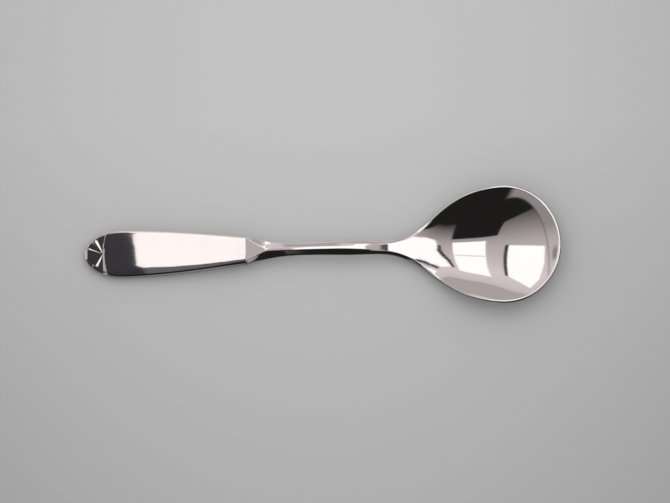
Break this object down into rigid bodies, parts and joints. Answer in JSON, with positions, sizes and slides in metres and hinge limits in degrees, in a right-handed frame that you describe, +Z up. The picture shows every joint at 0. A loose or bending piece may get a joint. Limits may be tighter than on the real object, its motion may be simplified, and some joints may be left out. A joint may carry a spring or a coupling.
{
  "type": "sugar spoon",
  "caption": "Sugar spoon with a wide pear-shaped bowl, a ridged stem, a faceted bolster and a flat hollow handle ending in a fluted fan.",
  "frame": {"origin": "on the table, below the middle of the spoon's length", "axes": "+X from the handle's tip to the bowl's tip, +Z up out of the bowl"},
  "size_m": [0.1402, 0.035, 0.0074],
  "materials": {
    "steel": "mirror-polished forged steel",
    "silver": "polished silver sheet with fine lengthwise polishing marks",
    "cement": "cast resin cement, hidden",
    "solder": "silver solder, polished flush"
  },
  "bodies": {
    "root": {"bowl_and_stem": "steel", "handle_front_shell": "silver", "handle_back_shell": "silver", "handle_filler": "cement", "rim_solder": "solder", "mouth_solder": "solder"}
  },
  "joints": []
}
